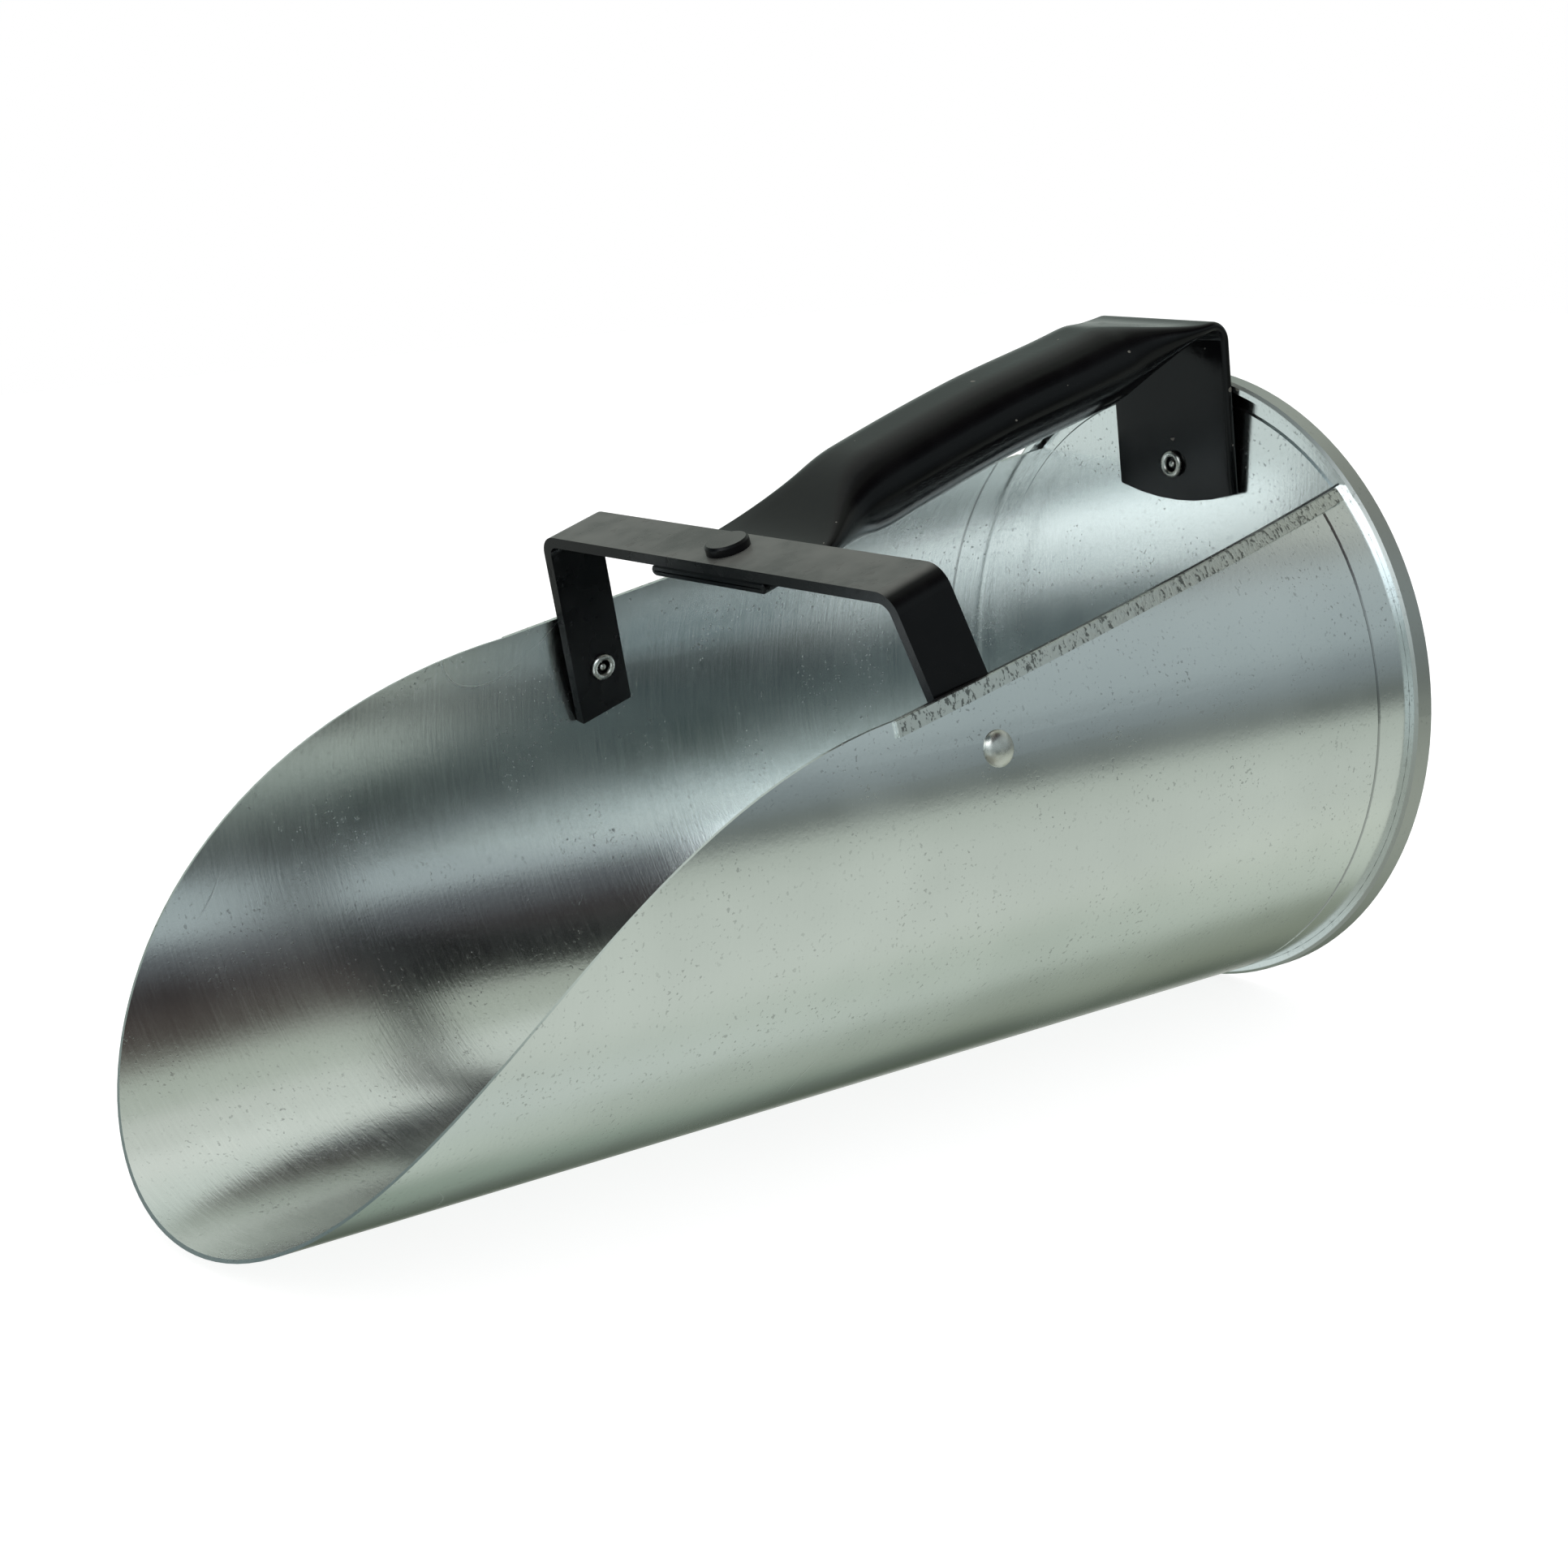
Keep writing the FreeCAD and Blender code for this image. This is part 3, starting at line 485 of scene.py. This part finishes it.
def rivetTree(settings, material):
    tree = bpy.data.node_groups.new("rivetEnds", "GeometryNodeTree")
    tree.interface.new_socket("Geometry", in_out="INPUT", socket_type="NodeSocketGeometry")
    for name, size in settings["sizes"].items():
        socket = tree.interface.new_socket(name, in_out="INPUT", socket_type="NodeSocketFloat")
        socket.default_value = size
    tree.interface.new_socket("Geometry", in_out="OUTPUT", socket_type="NodeSocketGeometry")
    given = tree.nodes.new("NodeGroupInput").outputs

    def add(kind, options=None, **sources):
        node = tree.nodes.new(kind)
        for key, option in (options or {}).items():
            setattr(node, key, option)
        for key, source in sources.items():
            socket = node.inputs[key.replace("_", " ")]
            if hasattr(source, "is_output"):
                tree.links.new(source, socket)
            else:
                socket.default_value = source
        return node

    def dome(radius, rise):
        ball = add("GeometryNodeMeshUVSphere", Segments=40, Rings=20, Radius=1.0)
        size = add("ShaderNodeCombineXYZ", X=given[radius], Y=given[radius], Z=given[rise])
        return add("GeometryNodeTransform", Geometry=ball.outputs["Mesh"], Scale=size.outputs[0]).outputs[0]

    def joined(*parts):
        node = tree.nodes.new("GeometryNodeJoinGeometry")
        for part in parts:
            tree.links.new(part, node.inputs[0])
        return node.outputs[0]

    path = add("GeometryNodeCurvePrimitiveCircle", Resolution=48, Radius=given["Ring Radius"])
    section = add("GeometryNodeCurvePrimitiveCircle", Resolution=16, Radius=given["Ring Thickness"])
    ring = add("GeometryNodeCurveToMesh", Curve=path.outputs[0], Profile_Curve=section.outputs[0])
    lift = add("ShaderNodeCombineXYZ", Z=given["Ring Lift"])
    ring = add("GeometryNodeTransform", Geometry=ring.outputs[0], Translation=lift.outputs[0]).outputs[0]
    rolled = joined(ring, dome("Pin Radius", "Pin Rise"))   # the dark paint shows between ring and pin

    def marked(name, kind):
        return add("GeometryNodeInputNamedAttribute", {"data_type": kind}, Name=name).outputs["Attribute"]

    turned = add("FunctionNodeAlignRotationToVector", {"axis": "Z"}, Vector=marked("facing", "FLOAT_VECTOR"))
    isRoll = marked("rolled", "BOOLEAN")
    isHead = add("FunctionNodeBooleanMath", {"operation": "NOT"})
    tree.links.new(isRoll, isHead.inputs[0])
    placed = []
    for chosen, shape in ((isHead.outputs[0], dome("Head Radius", "Head Rise")), (isRoll, rolled)):
        copies = add("GeometryNodeInstanceOnPoints", Points=given["Geometry"], Selection=chosen,
                     Instance=shape, Rotation=turned.outputs[0])
        placed.append(copies.outputs[0])
    solid = add("GeometryNodeRealizeInstances", Geometry=joined(*placed))
    smooth = add("GeometryNodeSetShadeSmooth", Geometry=solid.outputs[0])
    painted = add("GeometryNodeSetMaterial", Geometry=smooth.outputs[0], Material=material)
    end = tree.nodes.new("NodeGroupOutput")
    tree.links.new(painted.outputs[0], end.inputs[0])
    return tree


def rivetEnds(settings):
    # seats and directions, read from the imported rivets
    points, facings, rolled = [], [], []
    for name in settings["nodes"]:
        corners = [Vector(vertex.co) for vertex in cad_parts[name].data.vertices]
        low, high = (Vector(corner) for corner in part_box(name))
        middle = (low + high) / 2
        if name.startswith("side"):
            out = Vector((middle.x, 0.0, middle.z - axisHeight)).normalized()
        else:
            out = Vector((0.0, 1.0, 0.0))
        reach = [out.dot(corner - middle) for corner in corners]
        points.append(middle + out * (max(reach) - settings["headHeight"]))
        points.append(middle + out * (min(reach) + settings["rollHeight"]))
        facings += [out, -out]
        rolled += [False, True]
    return points, facings, rolled


def makeRivets(settings, material):
    points, facings, rolled = rivetEnds(settings)
    mesh = bpy.data.meshes.new("rivetSeats")
    mesh.from_pydata(points, [], [])
    facing = mesh.attributes.new("facing", "FLOAT_VECTOR", "POINT")
    facing.data.foreach_set("vector", [side for out in facings for side in out])
    mesh.attributes.new("rolled", "BOOLEAN", "POINT").data.foreach_set("value", rolled)
    piece = bpy.data.objects.new("platedRivets", mesh)
    bpy.context.scene.collection.objects.link(piece)
    tree = rivetTree(settings, material)
    modifier = piece.modifiers.new("rivetEnds", "NODES")
    modifier.node_group = tree
    for socket in tree.interface.items_tree:
        if socket.in_out == "INPUT" and socket.name in settings["sizes"]:
            modifier[socket.identifier] = settings["sizes"][socket.name]
    shaped = piece.evaluated_get(bpy.context.evaluated_depsgraph_get())
    finished = bpy.data.meshes.new_from_object(shaped)
    piece.modifiers.clear()
    piece.data = finished
    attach(piece, "root")
    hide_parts(*settings["nodes"])
    print("rivets made, faces:", len(finished.polygons))


makeRivets(rivets, finishes["rear_rivet"])


# studio: pale floor, soft light, and the surroundings that the metal mirrors
studio = {
    "floorSize": 1.6,
    "floorColour": linear(0.6, 0.6, 0.6),
    "floorGlow": 0.82,       # keeps the scoop's shadow faint
    "floorDrop": 0.0003,     # just under the scoop
    "white": 1.0,
    "lampPlace": (-0.3, 0.2, 1.1),
    "lampTarget": (0.0, 0.0, 0.08),
    "lampSize": (0.7, 0.5),
    "lampPower": 6.0,
}


def makeFloor(settings):
    mesh = bpy.data.meshes.new("studioFloor")
    half = settings["floorSize"]
    corners = [(-half, -half, 0), (half, -half, 0), (half, half, 0), (-half, half, 0)]
    mesh.from_pydata(corners, [], [(0, 1, 2, 3)])
    floor = bpy.data.objects.new("studioFloor", mesh)
    bpy.context.scene.collection.objects.link(floor)
    r = Recipe("floorPaper")
    paper = settings["floorColour"]
    r.join(r.blend(r.noise(r.place, 6.0), paper, [c * 0.985 for c in paper]), r.shader.inputs["Base Color"])
    r.set(Roughness=0.9, Specular_IOR_Level=0.1)
    r.set(Emission_Color=(1.0, 1.0, 1.0, 1.0), Emission_Strength=settings["floorGlow"])
    mesh.materials.append(r.material)
    floor.visible_glossy = False
    floor.location.z = -settings["floorDrop"]


def ramp(tree, source, stops, gain=1.13):
    node = tree.nodes.new("ShaderNodeValToRGB")
    node.color_ramp.interpolation = "EASE"
    elements = node.color_ramp.elements
    while len(elements) < len(stops):
        elements.new(0.5)
    for element, (degrees, colour) in zip(elements, stops):
        element.position = (degrees + 90) / 180
        element.color = (*[gain * c for c in colour], 1.0)
    tree.links.new(source, node.inputs[0])
    return node.outputs[0]


# what the metal mirrors: light by degrees above the horizon, for each side of the room
surroundings = {
    "right": [(-90, (0.30, 0.33, 0.30)), (-66, (0.42, 0.46, 0.42)), (-48, (0.53, 0.58, 0.53)),
              (-22, (0.50, 0.55, 0.50)), (-12, (0.44, 0.49, 0.44)), (-5, (0.12, 0.14, 0.13)),
              (3, (0.20, 0.24, 0.25)), (12, (0.33, 0.39, 0.40)), (27, (0.36, 0.42, 0.43)),
              (34, (0.10, 0.11, 0.12)), (43, (0.03, 0.025, 0.025)), (54, (0.06, 0.05, 0.045)),
              (64, (0.22, 0.23, 0.20)), (90, (0.4, 0.42, 0.4))],
    "backRight": [(-90, (0.20, 0.22, 0.20)), (-57, (0.50, 0.56, 0.52)), (-48, (0.43, 0.49, 0.43)),
                  (-33, (0.53, 0.58, 0.51)), (-12, (0.44, 0.49, 0.44)), (-3, (0.14, 0.16, 0.15)),
                  (12, (0.33, 0.38, 0.38)), (33, (0.49, 0.53, 0.49)), (45, (0.30, 0.33, 0.29)),
                  (63, (0.42, 0.47, 0.41)), (90, (0.5, 0.52, 0.5))],
    "back": [(-90, (0.5, 0.56, 0.5)), (-63, (0.54, 0.61, 0.55)), (-55, (0.33, 0.38, 0.33)),
             (-39, (0.19, 0.22, 0.17)), (-15, (0.3, 0.32, 0.3)), (10, (0.35, 0.4, 0.38)),
             (40, (0.5, 0.55, 0.5)), (57, (0.58, 0.64, 0.59)), (63, (0.54, 0.58, 0.53)),
             (90, (0.6, 0.62, 0.6))],
    "left": [(-90, (0.4, 0.45, 0.4)), (-51, (0.24, 0.30, 0.25)), (-39, (0.10, 0.12, 0.10)),
             (-32, (0.07, 0.09, 0.065)), (-21, (0.51, 0.53, 0.49)), (0, (0.4, 0.45, 0.42)),
             (24, (0.30, 0.36, 0.33)), (36, (0.46, 0.52, 0.48)), (51, (0.60, 0.66, 0.61)),
             (60, (0.68, 0.72, 0.67)), (90, (0.7, 0.74, 0.7))],
    "behind": [(-90, (0.5, 0.55, 0.53)), (-20, (0.62, 0.70, 0.69)), (-4, (0.60, 0.68, 0.67)),
               (4, (0.08, 0.12, 0.13)), (28, (0.05, 0.08, 0.09)), (55, (0.05, 0.08, 0.09)),
               (90, (0.2, 0.24, 0.25))],
    "front": [(-90, (0.4, 0.44, 0.42)), (-27, (0.40, 0.44, 0.40)), (-9, (0.54, 0.63, 0.63)),
              (8, (0.30, 0.36, 0.36)), (26, (1.3, 1.5, 1.6)), (34, (2.0, 2.1, 2.15)),
              (43, (1.9, 2.0, 2.05)), (50, (0.20, 0.30, 0.34)), (60, (0.06, 0.10, 0.11)),
              (90, (0.2, 0.24, 0.25))],
}
# going round from behind the left side, by degrees from +X: where each side gives way to the next
turns = [("behind", -165, -140), ("front", -112, -96), ("right", -25, 0), ("backRight", 52, 68),
         ("back", 82, 98), ("left", 110, 128)]


def makeSurroundings(settings, light):
    world = bpy.data.worlds.new("studioSurroundings")
    world.use_nodes = True
    bpy.context.scene.world = world
    tree = world.node_tree
    nodes, links = tree.nodes, tree.links
    where = nodes.new("ShaderNodeTexCoord").outputs["Generated"]
    split = nodes.new("ShaderNodeSeparateXYZ")
    links.new(where, split.inputs[0])

    def calc(operation, first, second=None):
        node = nodes.new("ShaderNodeMath")
        node.operation = operation
        for number, source in enumerate((first, second)):
            if isinstance(source, (int, float)):
                node.inputs[number].default_value = source
            elif source is not None:
                links.new(source, node.inputs[number])
        return node.outputs[0]

    rise = calc("ARCSINE", split.outputs[2])
    level = calc("MULTIPLY", calc("ADD", rise, math.pi / 2), 1 / math.pi)
    bearing = calc("ARCTAN2", split.outputs[1], split.outputs[0])

    def share(source, low, high):
        node = nodes.new("ShaderNodeMapRange")
        node.interpolation_type = "SMOOTHSTEP"
        node.inputs["From Min"].default_value = math.radians(low)
        node.inputs["From Max"].default_value = math.radians(high)
        links.new(source, node.inputs["Value"])
        return node.outputs["Result"]

    def mixed(factor, first, second):
        node = nodes.new("ShaderNodeMix")
        node.data_type = "RGBA"
        for source, number in ((factor, 0), (first, 6), (second, 7)):
            links.new(source, node.inputs[number])
        return node.outputs[2]

    around = ramp(tree, level, settings["left"])
    for side, low, high in turns:
        around = mixed(share(bearing, low, high), around, ramp(tree, level, settings[side]))
    paths = nodes.new("ShaderNodeLightPath")
    seen = nodes.new("ShaderNodeMix")
    seen.data_type = "RGBA"
    links.new(paths.outputs["Is Glossy Ray"], seen.inputs[0])
    seen.inputs[6].default_value = (light["white"], light["white"], light["white"], 1.0)
    links.new(around, seen.inputs[7])
    links.new(seen.outputs[2], nodes["Background"].inputs["Color"])
    nodes["Background"].inputs["Strength"].default_value = 1.0


def softLight(name, settings):
    light = bpy.data.lights.new(name, "AREA")
    light.shape = "RECTANGLE"
    light.size, light.size_y = settings["lampSize"]
    light.energy = settings["lampPower"]
    lamp = bpy.data.objects.new(name, light)
    lamp.location = settings["lampPlace"]
    lamp.visible_glossy = False   # the metal mirrors the surroundings only
    aim = Vector(settings["lampTarget"]) - Vector(settings["lampPlace"])
    lamp.rotation_euler = aim.to_track_quat("-Z", "Y").to_euler()
    bpy.context.scene.collection.objects.link(lamp)


makeFloor(studio)
makeSurroundings(surroundings, studio)
softLight("overheadBox", studio)
print("studio set")


# camera
view = {
    "place": (0.5038, -0.5178 + body["seamFront"], 0.1456 + axisHeight),
    "bearing": 51.68, "rise": 13.22, "roll": -2.17,
    "lens": 71.1,
}


def makeCamera(settings):
    data = bpy.data.cameras.new("sceneCamera")
    data.sensor_width = 36.0
    data.lens = settings["lens"]
    data.clip_start = 0.01
    bearing, rise, roll = (math.radians(settings[key]) for key in ("bearing", "rise", "roll"))
    back = Vector((math.sin(bearing) * math.cos(rise), -math.cos(bearing) * math.cos(rise), math.sin(rise)))
    right = Vector((math.cos(bearing), math.sin(bearing), 0.0))
    up = back.cross(right)
    turned = right * math.cos(roll) + up * math.sin(roll)
    lifted = back.cross(turned)
    place = Matrix((turned, lifted, back)).transposed().to_4x4()
    place.translation = settings["place"]
    camera = bpy.data.objects.new("sceneCamera", data)
    camera.matrix_world = place
    bpy.context.scene.collection.objects.link(camera)
    bpy.context.scene.camera = camera


makeCamera(view)
bpy.context.scene.view_settings.view_transform = "Standard"
print("camera set")
